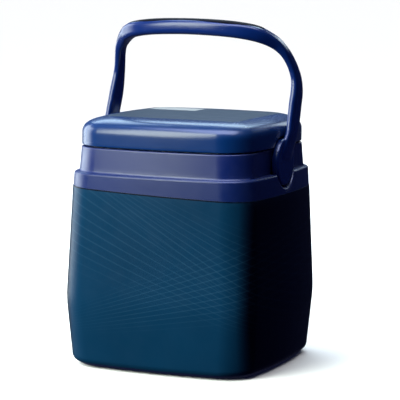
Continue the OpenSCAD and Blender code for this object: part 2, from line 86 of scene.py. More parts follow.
def plan(a, r, nc=14, ns=18):
    """Rounded square with bowed sides."""
    b = a + EXTRA

    def bow(x, y):
        return (x * (1 - CROWN / a * (y / b) ** 2), y * (1 - CROWN / b * (x / a) ** 2))
    out = []
    for q in range(4):
        sx, sy = (1 if q in (0, 3) else -1), (1 if q < 2 else -1)
        n = (q + 1) % 4
        nx, ny = (1 if n in (0, 3) else -1), (1 if n < 2 else -1)
        for k in range(nc + 1):
            t = math.radians(90 * q + 90 * k / nc)
            out.append(bow(sx * (a - r) + r * math.cos(t), sy * (b - r) + r * math.sin(t)))
        t = math.radians(90 * (q + 1))
        x0, y0 = sx * (a - r) + r * math.cos(t), sy * (b - r) + r * math.sin(t)
        x1, y1 = nx * (a - r) + r * math.cos(t), ny * (b - r) + r * math.sin(t)
        for k in range(1, ns + 1):
            f = k / (ns + 1)
            out.append(bow(lerp(x0, x1, f), lerp(y0, y1, f)))
    return out


def make(name, verts, faces):
    me = bpy.data.meshes.new(name)
    me.from_pydata([(x * 0.001, y * 0.001, z * 0.001) for x, y, z in verts], [], faces)
    me.validate()
    ob = bpy.data.objects.new(name, me)
    scene.collection.objects.link(ob)
    bm = bmesh.new()
    bm.from_mesh(me)
    bmesh.ops.recalc_face_normals(bm, faces=bm.faces)
    bm.to_mesh(me)
    bm.free()
    return ob


def loft(name, rings, closed=False, nc=14, ns=18, shift=None):
    """rings are (height, half width, corner radius). Capped, or closed on itself."""
    verts, faces = [], []
    n = 4 * (nc + 1 + ns)
    for z, a, r in rings:
        for x, y in plan(a, r, nc, ns):
            if shift:
                dz, k = shift(x, y, z)
                verts.append((x * k, y * k, z + dz))
            else:
                verts.append((x, y, z))
    m = len(rings)
    for i in range(m if closed else m - 1):
        i2 = (i + 1) % m
        for j in range(n):
            j2 = (j + 1) % n
            faces.append((i * n + j, i * n + j2, i2 * n + j2, i2 * n + j))
    if not closed:
        faces.append(tuple(range(n - 1, -1, -1)))
        faces.append(tuple((m - 1) * n + j for j in range(n)))
    return make(name, verts, faces)


def lathe(name, profile, seg=96, axis="Z", at=(0, 0, 0)):
    """profile is (radius, along); closed on itself, or ending on the axis."""
    verts, faces, rows = [], [], []
    for r, h in profile:
        if r < 1e-6:
            rows.append([len(verts)])
            verts.append((0, 0, h))
        else:
            rows.append(list(range(len(verts), len(verts) + seg)))
            for k in range(seg):
                t = 2 * math.pi * k / seg
                verts.append((r * math.cos(t), r * math.sin(t), h))
    loop = profile[0][0] > 1e-6 and profile[-1][0] > 1e-6
    for i in range(len(rows) if loop else len(rows) - 1):
        a, b = rows[i], rows[(i + 1) % len(rows)]
        for k in range(seg):
            k2 = (k + 1) % seg
            if len(a) == 1 and len(b) == 1:
                continue
            if len(a) == 1:
                faces.append((a[0], b[k], b[k2]))
            elif len(b) == 1:
                faces.append((a[k], b[0], a[k2]))
            else:
                faces.append((a[k], b[k], b[k2], a[k2]))
    out = []
    for x, y, z in verts:
        if axis == "X":
            p = (z, x, y)
        elif axis == "Y":
            p = (y, z, x)
        else:
            p = (x, y, z)
        out.append((p[0] + at[0], p[1] + at[1], p[2] + at[2]))
    return make(name, out, faces)


def round_rect(hx, hy, r, nc=10, ns=8):
    out = []
    for q in range(4):
        sx, sy = (1 if q in (0, 3) else -1), (1 if q < 2 else -1)
        n = (q + 1) % 4
        nx, ny = (1 if n in (0, 3) else -1), (1 if n < 2 else -1)
        for k in range(nc + 1):
            t = math.radians(90 * q + 90 * k / nc)
            out.append((sx * (hx - r) + r * math.cos(t), sy * (hy - r) + r * math.sin(t)))
        t = math.radians(90 * (q + 1))
        x0, y0 = sx * (hx - r) + r * math.cos(t), sy * (hy - r) + r * math.sin(t)
        x1, y1 = nx * (hx - r) + r * math.cos(t), ny * (hy - r) + r * math.sin(t)
        for k in range(1, ns + 1):
            f = k / (ns + 1)
            out.append((lerp(x0, x1, f), lerp(y0, y1, f)))
    return out


def boolean(ob, cutter, op="DIFFERENCE", keep=False):
    m = ob.modifiers.new("cut", "BOOLEAN")
    m.operation, m.object = op, cutter
    try:
        m.solver = "MANIFOLD"
    except TypeError:
        m.solver = "EXACT"
    dg = bpy.context.evaluated_depsgraph_get()
    me = bpy.data.meshes.new_from_object(ob.evaluated_get(dg))
    if len(me.polygons) == 0:
        m.solver = "EXACT"
        dg = bpy.context.evaluated_depsgraph_get()
        me = bpy.data.meshes.new_from_object(ob.evaluated_get(dg))
    ob.modifiers.clear()
    old = ob.data
    ob.data = me
    bpy.data.meshes.remove(old)
    if not keep:
        bpy.data.objects.remove(cutter)
    return ob


def smooth(ob, angle=35.0, weighted=True):
    bm = bmesh.new()
    bm.from_mesh(ob.data)
    bmesh.ops.remove_doubles(bm, verts=bm.verts, dist=2e-6)
    bmesh.ops.dissolve_degenerate(bm, edges=bm.edges, dist=2e-6)
    lim = math.radians(angle)
    for f in bm.faces:
        f.smooth = True
    for e in bm.edges:
        e.smooth = not (len(e.link_faces) == 2 and e.calc_face_angle(0.0) > lim)
    bm.to_mesh(ob.data)
    bm.free()
    if weighted:
        w = ob.modifiers.new("normals", "WEIGHTED_NORMAL")
        w.keep_sharp = True
        w.weight = 60
    return ob


def mirrored(ob, name):
    """A copy on the other side of the middle plane."""
    other = bpy.data.objects.new(name, ob.data.copy())
    scene.collection.objects.link(other)
    bm = bmesh.new()
    bm.from_mesh(other.data)
    for v in bm.verts:
        v.co.x = -v.co.x
    bmesh.ops.reverse_faces(bm, faces=bm.faces)
    bm.to_mesh(other.data)
    bm.free()
    return other


# ------------------------------------------------------------------ side face and its flared recess
def side_x(a, y):
    """X of the side face of a ring of half width a at depth y."""
    b = a + EXTRA
    yp = y / (1 - CROWN / b)
    return a - CROWN * (yp / b) ** 2


def flared_cutter(name, r, lip, face, x0, seg=128, out=14.0):
    """A round cutter on the pivot axis whose mouth flares into the face x = face(y, z)."""
    verts, faces, rows = [], [], []
    rows.append([0])
    verts.append((x0, 0, PIVOT_Z))
    steps = [("flat", r * 0.5), ("flat", r)] + [("arc", p) for p in (0, 13, 26, 39, 52, 65, 77)] + [("out", 0), ("far", 0)]
    for kind, v in steps:
        row = []
        for k in range(seg):
            t = 2 * math.pi * k / seg
            c, s = math.cos(t), math.sin(t)
            fx = face((r + lip) * c, PIVOT_Z + (r + lip) * s)
            if kind == "flat":
                rr, xx = v, x0
            elif kind == "arc":
                p = math.radians(v)
                rr, xx = r + lip - lip * math.cos(p), fx - lip + lip * math.sin(p)
            elif kind == "out":
                p = math.radians(77)
                rr, xx = r + lip - lip * math.cos(p) + 2.4 * math.sin(p), fx - lip + lip * math.sin(p) + 2.4 * math.cos(p)
            else:
                rr, xx = r + lip + 2.4, fx + out
            row.append(len(verts))
            verts.append((xx, rr * c, PIVOT_Z + rr * s))
        rows.append(row)
    rows.append([len(verts)])
    verts.append((x0 + 60, 0, PIVOT_Z))
    for i in range(len(rows) - 1):
        a, b = rows[i], rows[i + 1]
        for k in range(seg):
            k2 = (k + 1) % seg
            if len(a) == 1:
                faces.append((a[0], b[k], b[k2]))
            elif len(b) == 1:
                faces.append((a[k], b[0], a[k2]))
            else:
                faces.append((a[k], b[k], b[k2], a[k2]))
    return make(name, verts, faces)


def tub_face(y, z):
    return side_x(wall(min(z, SHOULDER_Z)), y)


def neck_hw(z):
    return lerp(NECK_LOW, NECK_TOP, (z - SHOULDER_Z) / (NECK_Z - SHOULDER_Z))


def neck_face(y, z):
    return side_x(neck_hw(max(z, SHOULDER_Z)), y)


def lid_face(y, z):
    return side_x(LID_HW, y)


def block(name, x0, x1, y0, y1, z0, z1):
    v = [(x, y, z) for x in (x0, x1) for y in (y0, y1) for z in (z0, z1)]
    f = [(0, 1, 3, 2), (4, 6, 7, 5), (0, 4, 5, 1), (2, 3, 7, 6), (0, 2, 6, 4), (1, 5, 7, 3)]
    return make(name, v, f)


# ------------------------------------------------------------------ materials
def node(nt, kind, **kw):
    n = nt.nodes.new(kind)
    for k, v in kw.items():
        setattr(n, k, v)
    return n


def noise_tex(nt, coord, scale, detail=3.0, rough=0.5):
    n = node(nt, "ShaderNodeTexNoise")
    n.inputs["Scale"].default_value = scale
    n.inputs["Detail"].default_value = detail
    n.inputs["Roughness"].default_value = rough
    nt.links.new(coord, n.inputs["Vector"])
    return n.outputs["Fac"]


def remap(nt, value, a0, a1, b0, b1):
    n = node(nt, "ShaderNodeMapRange")
    n.inputs["From Min"].default_value, n.inputs["From Max"].default_value = a0, a1
    n.inputs["To Min"].default_value, n.inputs["To Max"].default_value = b0, b1
    nt.links.new(value, n.inputs["Value"])
    return n.outputs["Result"]


def mix_col(nt, fac, a, b, blend="MIX"):
    n = node(nt, "ShaderNodeMix", data_type="RGBA", blend_type=blend)
    n.clamp_factor = True
    if isinstance(fac, float):
        n.inputs[0].default_value = fac
    else:
        nt.links.new(fac, n.inputs[0])
    for sock, v in ((n.inputs[6], a), (n.inputs[7], b)):
        if isinstance(v, tuple):
            sock.default_value = (*v, 1.0)
        else:
            nt.links.new(v, sock)
    return n.outputs[2]


def math_node(nt, op, a, b=None, c=None):
    n = node(nt, "ShaderNodeMath", operation=op)
    for s, v in zip(n.inputs, (a, b, c)):
        if v is None:
            continue
        if isinstance(v, (int, float)):
            s.default_value = v
        else:
            nt.links.new(v, s)
    return n.outputs[0]


def finish_mat(name, color, rough=0.4, grain=1400.0, grain_depth=0.00003, grain_strength=0.25, vary=0.10, rough_vary=0.08,
               wear=0.25, wear_color=None, metallic=0.0, spec=0.5, ior=1.5, coat=0.0, coat_rough=0.1, sheen=0.0, sub=0.0,
               detail=None, alpha=None, transmission=0.0, scuff=0.0, edge_lo=0.505):
    """Procedural plastic, rubber or metal: colour drift, roughness patches, moulding grain and rubbed edges."""
    m = bpy.data.materials.new(name)
    m.use_nodes = True
    nt = m.node_tree
    bsdf = next(n for n in nt.nodes if n.type == "BSDF_PRINCIPLED")
    tc = node(nt, "ShaderNodeTexCoord")
    co = tc.outputs["Object"]
    bsdf.inputs["Metallic"].default_value = metallic
    bsdf.inputs["IOR"].default_value = ior
    bsdf.inputs["Specular IOR Level"].default_value = spec
    bsdf.inputs["Coat Weight"].default_value = coat
    bsdf.inputs["Coat Roughness"].default_value = coat_rough
    bsdf.inputs["Sheen Weight"].default_value = sheen
    bsdf.inputs["Transmission Weight"].default_value = transmission
    big = noise_tex(nt, co, 9.0, 2.0)
    mid = noise_tex(nt, co, 70.0, 4.0, 0.6)
    dark = tuple(max(0.0, c * (1 - vary)) for c in color)
    lite = tuple(min(1.0, c * (1 + vary)) for c in color)
    col = mix_col(nt, remap(nt, big, 0.3, 0.7, 0.0, 1.0), dark, lite)
    col = mix_col(nt, remap(nt, mid, 0.35, 0.75, 0.0, 0.35 * vary * 4), col, tuple(min(1.0, c * 1.15 + 0.004) for c in color))
    if detail:
        col = detail(nt, co, col)
    if wear > 0:
        geo = node(nt, "ShaderNodeNewGeometry")
        edge = remap(nt, geo.outputs["Pointiness"], edge_lo, edge_lo + 0.055, 0.0, 1.0)
        rub = remap(nt, noise_tex(nt, co, 160.0, 5.0, 0.65), 0.42, 0.62, 0.15, 1.0)
        fac = math_node(nt, "MULTIPLY", math_node(nt, "MULTIPLY", edge, rub), wear)
        wc = wear_color or tuple(min(1.0, c * 1.8 + 0.03) for c in color)
        col = mix_col(nt, fac, col, wc)
    nt.links.new(col, bsdf.inputs["Base Color"])
    r = remap(nt, mid, 0.3, 0.75, max(0.03, rough - rough_vary), min(1.0, rough + rough_vary))
    if scuff > 0:
        s = node(nt, "ShaderNodeTexNoise")
        mp = node(nt, "ShaderNodeMapping")
        mp.inputs["Scale"].default_value = (1.0, 1.0, 14.0)
        nt.links.new(co, mp.inputs["Vector"])
        nt.links.new(mp.outputs["Vector"], s.inputs["Vector"])
        s.inputs["Scale"].default_value = 60.0
        s.inputs["Detail"].default_value = 6.0
        r = math_node(nt, "ADD", r, remap(nt, s.outputs["Fac"], 0.58, 0.78, 0.0, scuff))
    nt.links.new(r, bsdf.inputs["Roughness"])
    h1 = noise_tex(nt, co, grain, 2.0, 0.6)
    bump = node(nt, "ShaderNodeBump")
    bump.inputs["Strength"].default_value = grain_strength
    bump.inputs["Distance"].default_value = grain_depth
    nt.links.new(h1, bump.inputs["Height"])
    slow = node(nt, "ShaderNodeBump")
    slow.inputs["Strength"].default_value = 0.35
    slow.inputs["Distance"].default_value = 0.00015
    nt.links.new(noise_tex(nt, co, 22.0, 1.0), slow.inputs["Height"])
    nt.links.new(slow.outputs["Normal"], bump.inputs["Normal"])
    nt.links.new(bump.outputs["Normal"], bsdf.inputs["Normal"])
    if alpha is not None:
        bsdf.inputs["Alpha"].default_value = alpha
    return m


def line_fan(nt, co, col):
    """Fans of fine straight rays over the printed film, with painted shade over its sides and a painted dark line along
    its top edge.
    """
    sep = node(nt, "ShaderNodeSeparateXYZ")
    nt.links.new(co, sep.inputs[0])
    x, y, z = sep.outputs
    along = math_node(nt, "ADD", x, math_node(nt, "MULTIPLY", y, 0.35))
    # painted shade: the film darkens to near black over its corners and side faces, standing in for the unlit sides
    side = remap(nt, math_node(nt, "ABSOLUTE", x), 0.099, 0.1105, 0.0, 1.0)
    out = mix_col(nt, side, col, (0.0006, 0.001, 0.006))
    for cx, cz, rays, lo, hi, amount in ((-0.26, 0.020, 13.0, 0.12, 0.42, 0.21), (-0.24, 0.285, 12.0, -0.62, -0.34, 0.16),
                                         (0.26, -0.010, 13.0, 2.55, 2.86, 0.16)):
        dx = math_node(nt, "SUBTRACT", along, cx)
        dz = math_node(nt, "SUBTRACT", z, cz)
        ang = math_node(nt, "ARCTAN2", dz, dx)
        far = math_node(nt, "SQRT", math_node(nt, "ADD", math_node(nt, "MULTIPLY", dx, dx), math_node(nt, "MULTIPLY", dz, dz)))
        edge = (hi - lo) * 0.3
        inside = math_node(nt, "MULTIPLY", remap(nt, ang, lo, lo + edge, 0.0, 1.0), remap(nt, ang, hi - edge, hi, 1.0, 0.0))
        inside = math_node(nt, "MULTIPLY", inside, remap(nt, far, 0.10, 0.20, 0.0, 1.0))
        inside = math_node(nt, "MULTIPLY", inside, math_node(nt, "SUBTRACT", 1.0, math_node(nt, "MULTIPLY", side, 0.75)))
        wave = math_node(nt, "SINE", math_node(nt, "MULTIPLY", ang, rays * math.pi * 2 / (hi - lo)))
        line = remap(nt, wave, 0.80, 1.0, 0.0, 1.0)
        out = mix_col(nt, math_node(nt, "MULTIPLY", math_node(nt, "MULTIPLY", line, inside), amount), out, (0.035, 0.110, 0.190))
    # painted shade: a thin dark line along the film's top edge, standing in for the shadow in the groove there; the
    # edge runs a little out of level
    level = math_node(nt, "ADD", z, math_node(nt, "MULTIPLY", x, 0.031))
    return mix_col(nt, remap(nt, level, 0.1988, 0.1992, 0.0, 1.0), out, (0.001, 0.003, 0.010))


BLUE = (0.0025, 0.013, 0.092)
M = {}
M["tub"] = finish_mat("tub_plastic", BLUE, rough=0.38, spec=0.38, wear=0.3, grain=1500.0, grain_strength=0.3, scuff=0.12)
M["collar"] = finish_mat("collar_plastic", (0.0025, 0.012, 0.098), rough=0.37, wear=0.3, grain=1300.0, grain_strength=0.35, scuff=0.1)
M["lid"] = finish_mat("lid_plastic", (0.001, 0.024, 0.118), rough=0.26, rough_vary=0.015, wear=0.12, grain=700.0, grain_depth=0.00002,
                      grain_strength=0.10, coat=0.0, scuff=0.015)
M["handle"] = finish_mat("handle_plastic", (0.002, 0.017, 0.122), rough=0.24, spec=0.43, rough_vary=0.04, wear=0.3, grain=1200.0,
                         grain_strength=0.2, scuff=0.03, edge_lo=0.54)
M["grip"] = finish_mat("grip_rubber", (0.0015, 0.0017, 0.006), rough=0.75, spec=0.07, wear=0.12, grain=900.0, grain_depth=0.00008, grain_strength=0.6)
M["wrap"] = finish_mat("wrap_film", (0.0022, 0.029, 0.070), rough=0.34, rough_vary=0.05, wear=0.15, grain=500.0, grain_depth=0.00003,
                       grain_strength=0.12, detail=line_fan, scuff=0.06, spec=0.065)


def panel_print(nt, co, col):
    """A plain pale field on the lid's panel."""
    sep = node(nt, "ShaderNodeSeparateXYZ")
    nt.links.new(co, sep.inputs[0])
    x, y, z = sep.outputs
    fx = remap(nt, math_node(nt, "ABSOLUTE", math_node(nt, "ADD", x, 0.044)), 0.0285, 0.029, 1.0, 0.0)
    fy = remap(nt, math_node(nt, "ABSOLUTE", math_node(nt, "SUBTRACT", y, 0.0545)), 0.0155, 0.016, 1.0, 0.0)
    return mix_col(nt, math_node(nt, "MULTIPLY", fx, fy), col, (0.30, 0.32, 0.34))


M["panel"] = finish_mat("panel_film", (0.022, 0.037, 0.068), rough=0.5, rough_vary=0.03, vary=0.05, spec=0.09, wear=0.0, grain=900.0, grain_depth=0.00002, detail=panel_print)
M["liner"] = finish_mat("liner_plastic", (0.72, 0.75, 0.78), rough=0.28, wear=0.05, vary=0.04, wear_color=(0.9, 0.9, 0.9), scuff=0.1)
M["foam"] = finish_mat("foam_rigid", (0.72, 0.64, 0.42), rough=0.85, vary=0.12, grain=500.0, grain_depth=0.0004, grain_strength=0.8, wear=0.0)
M["steel"] = finish_mat("steel_stainless", (0.60, 0.60, 0.62), rough=0.28, metallic=1.0, vary=0.06, wear=0.1, grain=2500.0, scuff=0.15)
M["rubber"] = finish_mat("rubber_black", (0.018, 0.018, 0.02), rough=0.7, grain=1500.0, grain_depth=0.00008, grain_strength=0.5, wear=0.2,
                         wear_color=(0.08, 0.08, 0.08))
M["natural"] = finish_mat("acetal_natural", (0.72, 0.71, 0.66), rough=0.38, vary=0.05, wear=0.05)
M["coupling"] = finish_mat("coupling_plastic", (0.022, 0.024, 0.032), rough=0.45, wear=0.35, wear_color=(0.09, 0.09, 0.1),
                           grain=1100.0, grain_depth=0.00006, grain_strength=0.5)
M["button"] = finish_mat("button_plastic", (0.09, 0.105, 0.13), rough=0.42, wear=0.35, grain=1100.0, grain_depth=0.00006, grain_strength=0.5)
M["pump"] = finish_mat("pump_plastic", (0.02, 0.024, 0.036), rough=0.4, wear=0.3, wear_color=(0.1, 0.1, 0.12), grain=1000.0,
                       grain_depth=0.00005, grain_strength=0.4)
M["filter"] = finish_mat("filter_open_foam", (0.03, 0.032, 0.036), rough=0.95, grain=600.0, grain_depth=0.0008, grain_strength=1.0, wear=0.0)
M["copper"] = finish_mat("winding_copper", (0.62, 0.26, 0.10), rough=0.3, metallic=1.0, vary=0.1, wear=0.0)
M["ceramic"] = finish_mat("ceramic_ground", (0.8, 0.8, 0.77), rough=0.22, vary=0.03, wear=0.0)
M["tube"] = finish_mat("tube_translucent", (0.62, 0.68, 0.72), rough=0.22, vary=0.05, wear=0.0, transmission=0.35)


def dress(ob, mat, slot, body, *replaced):
    ob.data.materials.clear()
    ob.data.materials.append(M[mat])
    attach(ob, body)
    if replaced:
        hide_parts(*replaced)
    return ob


# ------------------------------------------------------------------ tub
def tub_rings():
    rings = []
    for t in range(0, 91, 9):
        s, c = math.sin(math.radians(t)), math.cos(math.radians(t))
        i, z = BOTTOM_R * (1 - s), TUB_Z0 + BOTTOM_R * (1 - c)
        rings.append((z, wall(z) - i, CORNER_R - 0.5 * i))
    z = 18.0
    while z < 214:
        rings.append((z, wall(z), CORNER_R))
        z += 4.0 if 60 < z < 92 else 7.0
    for t in range(0, 91, 15):
        s, c = math.sin(math.radians(t)), math.cos(math.radians(t))
        z = SHOULDER_Z - 3 + 3 * s
        rings.append((z, wall(SHOULDER_Z - 3 + 3 * s) - 3 * (1 - c), CORNER_R))
    rings += [(SHOULDER_Z, 104.0, 27.0), (SHOULDER_Z, 94.6, 24.0), (SHOULDER_Z - 2.6, 94.6, 24.0),
              (SHOULDER_Z - 2.6, SHOULDER_HW - WALL, CORNER_R - WALL), (CREASE_Z, CREASE_HW - 0.4 - WALL, CORNER_R - WALL),
              (TUB_Z0 + BOTTOM_R + 1, wall(TUB_Z0 + BOTTOM_R) - WALL, CORNER_R - WALL),
              (TUB_Z0 + WALL + 2.4, wall(8) - WALL - 5, CORNER_R - 6), (TUB_Z0 + WALL, wall(8) - WALL - 10, CORNER_R - 9)]
    return rings


CUP_R = 32.0
tub = loft("tub_shell", tub_rings())
cut = flared_cutter("cut", CUP_R + 0.15, 0.5, tub_face, 92.0)
cut2 = mirrored(cut, "cut2")
boolean(tub, cut)
boolean(tub, cut2)
smooth(tub)
dress(tub, "tub", "tub_blue", "base", "outer_tub")

# printed film round the body, its top edge a little out of level
def film_shift(x, y, z):
    w = max(0.0, min(1.0, (z - 120.0) / 80.0))
    dz = -0.031 * x * w * w
    return dz, (wall(z + dz) / wall(z))


film_rings = []
for t, d in ((54, 0.03), (54, 0.35), (56, 0.5), (63, 0.5), (70, 0.5), (77, 0.5), (84, 0.5)):
    ts, tc = math.sin(math.radians(t)), math.cos(math.radians(t))
    fz, fi = TUB_Z0 + BOTTOM_R * (1 - tc), BOTTOM_R * (1 - ts)
    film_rings.append((fz - d * 0.4, wall(fz) - fi + d, CORNER_R - 0.5 * fi))
film_rings.append((14.3, wall(14.3) + 0.5, CORNER_R))
z = 20.0
while z < 198:
    film_rings.append((z, wall(z) + 0.5, CORNER_R))
    z += 4.0 if 60 < z < 92 else 7.0
film_rings += [(WRAP_TOP - 0.3, wall(WRAP_TOP) + 0.5, CORNER_R), (WRAP_TOP, wall(WRAP_TOP) + 0.40, CORNER_R),
               (WRAP_TOP, wall(WRAP_TOP) + 0.02, CORNER_R), (150.0, wall(150.0) + 0.02, CORNER_R), (CREASE_Z, wall(CREASE_Z) + 0.02, CORNER_R), (14.0, wall(14.0) + 0.03, CORNER_R)]
film = loft("wrap_film", film_rings, closed=True, shift=film_shift)
smooth(film, 50)
dress(film, "wrap", "printed_wrap", "base", "wrap_label")

# ------------------------------------------------------------------ neck ring with the two hub cups
neck_rings = [(SHOULDER_Z + 0.05, NECK_LOW - 2.6, 28.4), (SHOULDER_Z + 0.05, NECK_LOW + 1.0, CORNER_R), (SHOULDER_Z + 0.5, NECK_LOW + 0.55, CORNER_R),
              (SHOULDER_Z + 1.2, NECK_LOW + 0.15, CORNER_R), (SHOULDER_Z + 2.2, NECK_LOW - 0.1, CORNER_R)]
for z in (226.0, 231.0, 236.0, 241.0):
    neck_rings.append((z, neck_hw(z), CORNER_R))
for t in range(0, 91, 15):
    s, c = math.sin(math.radians(t)), math.cos(math.radians(t))
    neck_rings.append((NECK_Z - 1.6 + 1.6 * s, NECK_TOP + 0.1 - 1.6 * (1 - c), CORNER_R - 1.6 * (1 - c)))
neck_rings += [(NECK_Z, 101.2, 27.2), (244.9, 101.2, 27.2), (244.9, 94.2, 24.3), (242.2, 94.2, 24.3), (242.2, NECK_TOP - 2.6, 28.4)]
collar = loft("neck_ring", neck_rings, closed=True)

# outer form that the cups reach up to
form_rings = [(150.0, wall(150.0), CORNER_R)]
for z in (170.0, 180.0, 188.0, 194.0, 200.0, 206.0, 211.0):
    form_rings.append((z, wall(z), CORNER_R))
for t in range(0, 91, 15):
    s, c = math.sin(math.radians(t)), math.cos(math.radians(t))
    form_rings.append((SHOULDER_Z - 3 + 3 * s, wall(SHOULDER_Z - 3 + 3 * s) - 3 * (1 - c), CORNER_R))
tub_form = loft("tub_form", form_rings)
neck_form = loft("neck_form", [(SHOULDER_Z - 5, NECK_LOW + 0.3, CORNER_R)] + [(z, neck_hw(z) - 0.02, CORNER_R) for z in (222.0, 228.0, 234.0, 240.0)]
                 + [(NECK_Z - 2.2, neck_hw(NECK_Z - 2.2) - 0.02, CORNER_R)])
cup = lathe("cup", [(0, 101.4), (15, 101.4), (CUP_R, 101.4), (CUP_R, 125.0), (0, 125.0)], seg=128, axis="X", at=(0, 0, PIVOT_Z))
wing = block("wing", 101.4, 125.0, -78.2, 78.2, SHOULDER_Z + 0.06, NECK_Z - 1.6)
boolean(cup, wing, "UNION")
boolean(tub_form, neck_form, "UNION")
boolean(cup, tub_form, "INTERSECT")
cup2 = mirrored(cup, "cup2")
boolean(collar, cup, "UNION")
boolean(collar, cup2, "UNION")
cut = flared_cutter("cut", RECESS_R, 3.0, tub_face, 104.0)
cut2 = mirrored(cut, "cut2")
boolean(collar, cut)
boolean(collar, cut2)
for x0, x1 in ((104.0, 140.0), (-140.0, -104.0)):
    boolean(collar, block("flat", x0, x1, -92, 92, SHOULDER_Z + 0.06, 300))
for s in (1, -1):
    boolean(collar, lathe("hole", [(0, 95), (5.15, 95), (5.15, 110), (0, 110)], seg=64, axis="X", at=(0, 0, PIVOT_Z)) if s > 0 else
            lathe("hole", [(0, -110), (5.15, -110), (5.15, -95), (0, -95)], seg=64, axis="X", at=(0, 0, PIVOT_Z)))
boolean(collar, block("slot", -41.3, 5.3, 104, 118, SHOULDER_Z + 0.4, SHOULDER_Z + 22.4))
boolean(collar, lathe("hole", [(0, 100), (5.7, 100), (5.7, 120), (0, 120)], seg=64, axis="Y", at=(40, 0, 233)))
for sx in (1, -1):
    for sy in (1, -1):
        post = lathe("post", [(0, SHOULDER_Z + 0.05), (4.3, SHOULDER_Z + 0.05), (4.3, 243), (0, 243)], seg=48, at=(99.6 * sx, 45 * sy, 0))
        boolean(collar, post, "UNION")
        boolean(collar, lathe("hole", [(0, 190), (1.7, 190), (1.7, 228), (3.65, 228), (3.65, 260), (0, 260)], seg=48, at=(99.6 * sx, 45 * sy, 0)))
smooth(collar)
dress(collar, "collar", "collar_blue", "base", "collar")

# ------------------------------------------------------------------ lid
def lid_rings(d=0.0, n=22):
    out = []
    for k in range(n + 1):
        t, e = math.radians(90 * k / n), 0.8
        i = LID_ROUND * (1 - max(0.0, math.cos(t)) ** e)
        h = LID_TOP - LID_LOW - LID_STRAIGHT
        out.append((LID_LOW + LID_STRAIGHT + h * math.sin(t) ** e - d, LID_HW - d - i * (1 - d / 60), max(9.0, CORNER_R - d - 0.55 * i)))
    return out


lid_list = list(reversed(lid_rings(LID_WALL, 10)))
lid_list += [(LID_LOW + 4, LID_HW - LID_WALL, CORNER_R - LID_WALL), (LID_LOW, LID_HW - LID_WALL, CORNER_R - LID_WALL), (LID_LOW, LID_HW - 0.9, CORNER_R - 0.5),
             (LID_LOW + 0.25, LID_HW - 0.35, CORNER_R - 0.2), (LID_LOW + 0.8, LID_HW - 0.05, CORNER_R), (LID_LOW + 3.0, LID_HW, CORNER_R),
             (LID_LOW + 8.0, LID_HW, CORNER_R)]
lid_list += lid_rings()
lid = loft("lid_cover", lid_list)
boss = lathe("boss", [(0, 101.4), (RECESS_R + 2.6, 101.4), (RECESS_R + 2.6, 125.0), (0, 125.0)], seg=128, axis="X", at=(0, 0, PIVOT_Z))
boolean(boss, block("b", 90, 140, -60, 60, LID_LOW + 0.02, 300), "INTERSECT")
solid_lid = loft("solid_lid", [(LID_LOW, LID_HW - 0.9, CORNER_R - 0.5), (LID_LOW + 0.8, LID_HW - 0.07, CORNER_R), (LID_LOW + 8, LID_HW - 0.02, CORNER_R)]
                 + [(z, a - 0.02, r) for z, a, r in lid_rings()])
boolean(boss, solid_lid, "INTERSECT")
boss2 = mirrored(boss, "boss2")
boolean(lid, boss, "UNION")
boolean(lid, boss2, "UNION")
cut = flared_cutter("cut", RECESS_R + 0.2, 1.0, lid_face, 104.0)
cut2 = mirrored(cut, "cut2")
boolean(lid, cut)
boolean(lid, cut2)
smooth(lid)
dress(lid, "lid", "lid_blue", "lid", "lid_shell")

# printed panel that follows the lid's top
tree = BVHTree.FromObject(lid, bpy.context.evaluated_depsgraph_get())


def lid_z(x, y):
    hit = tree.ray_cast(Vector((x * 0.001, y * 0.001, 0.4)), Vector((0, 0, -1)))[0]
    return hit.z * 1000


pv, pf = [], []
rows = []
for inset, lift in ((0.0, 0.01), (0.0, 0.08), (0.15, 0.12), (3, 0.12), (8, 0.12), (16, 0.12), (28, 0.12), (44, 0.12), (60, 0.12)):
    row = []
    for x, y in round_rect(80 - inset, 73.5 - inset, max(2.0, 12 - inset * 0.8)):
        yy = y + 3.0
        row.append(len(pv))
        pv.append((x, yy, lid_z(x, yy) + lift))
    rows.append(row)
for a, b in zip(rows, rows[1:]):
    for j in range(len(a)):
        j2 = (j + 1) % len(a)
        pf.append((a[j], a[j2], b[j2], b[j]))
pf.append(tuple(rows[-1]))
pf.append(tuple(reversed(rows[0])))
panel = make("panel_film", pv, pf)
smooth(panel, 50)
dress(panel, "panel", "lid_panel_print", "lid", "lid_label")

# ------------------------------------------------------------------ handle
HALF = [(109.3, -0.5, 229.5, 40, 6.6), (110.6, 3, 238, 34, 7.7), (111.9, 9.6, 250, 29, 7.3), (113, 17.2, 263, 27.8, 7.3), (112.6, 23.5, 279.4, 28.3, 7.8),
        (112.1, 28.7, 293.8, 27.7, 8.2), (111.9, 33.4, 307.4, 26, 8.3), (110.9, 35.0, 320.1, 22.5, 7.9), (108.7, 32.5, 332.1, 19.2, 7.6),
        (105.6, 27.1, 343.5, 17, 8.0), (101.2, 20.5, 353.7, 16.2, 9.6), (94, 14, 362.8, 18, 12.3), (85.4, 6, 369.3, 21.4, 14.4),
        (75.5, -1.6, 374, 24.6, 17.0), (60.9, -8.2, 377, 27, 17.5), (41.6, -12.1, 378.6, 28.5, 16.8), (21, -14, 379.7, 29, 17), (0, -14.4, 380.1, 29.2, 17)]
FULL = HALF + [(-p[0], *p[1:]) for p in reversed(HALF[:-1])]


def catmull(P, steps):
    out = []
    n = len(P)
    for i in range(n - 1):
        a, b, c, d = P[max(0, i - 1)], P[i], P[i + 1], P[min(n - 1, i + 2)]
        for k in range(steps):
            t = k / steps
            out.append(tuple(0.5 * (2 * b[q] + (c[q] - a[q]) * t + (2 * a[q] - 5 * b[q] + 4 * c[q] - d[q]) * t * t
                                    + (3 * b[q] - a[q] - 3 * c[q] + d[q]) * t ** 3) for q in range(5)))
    out.append(P[-1])
    return out


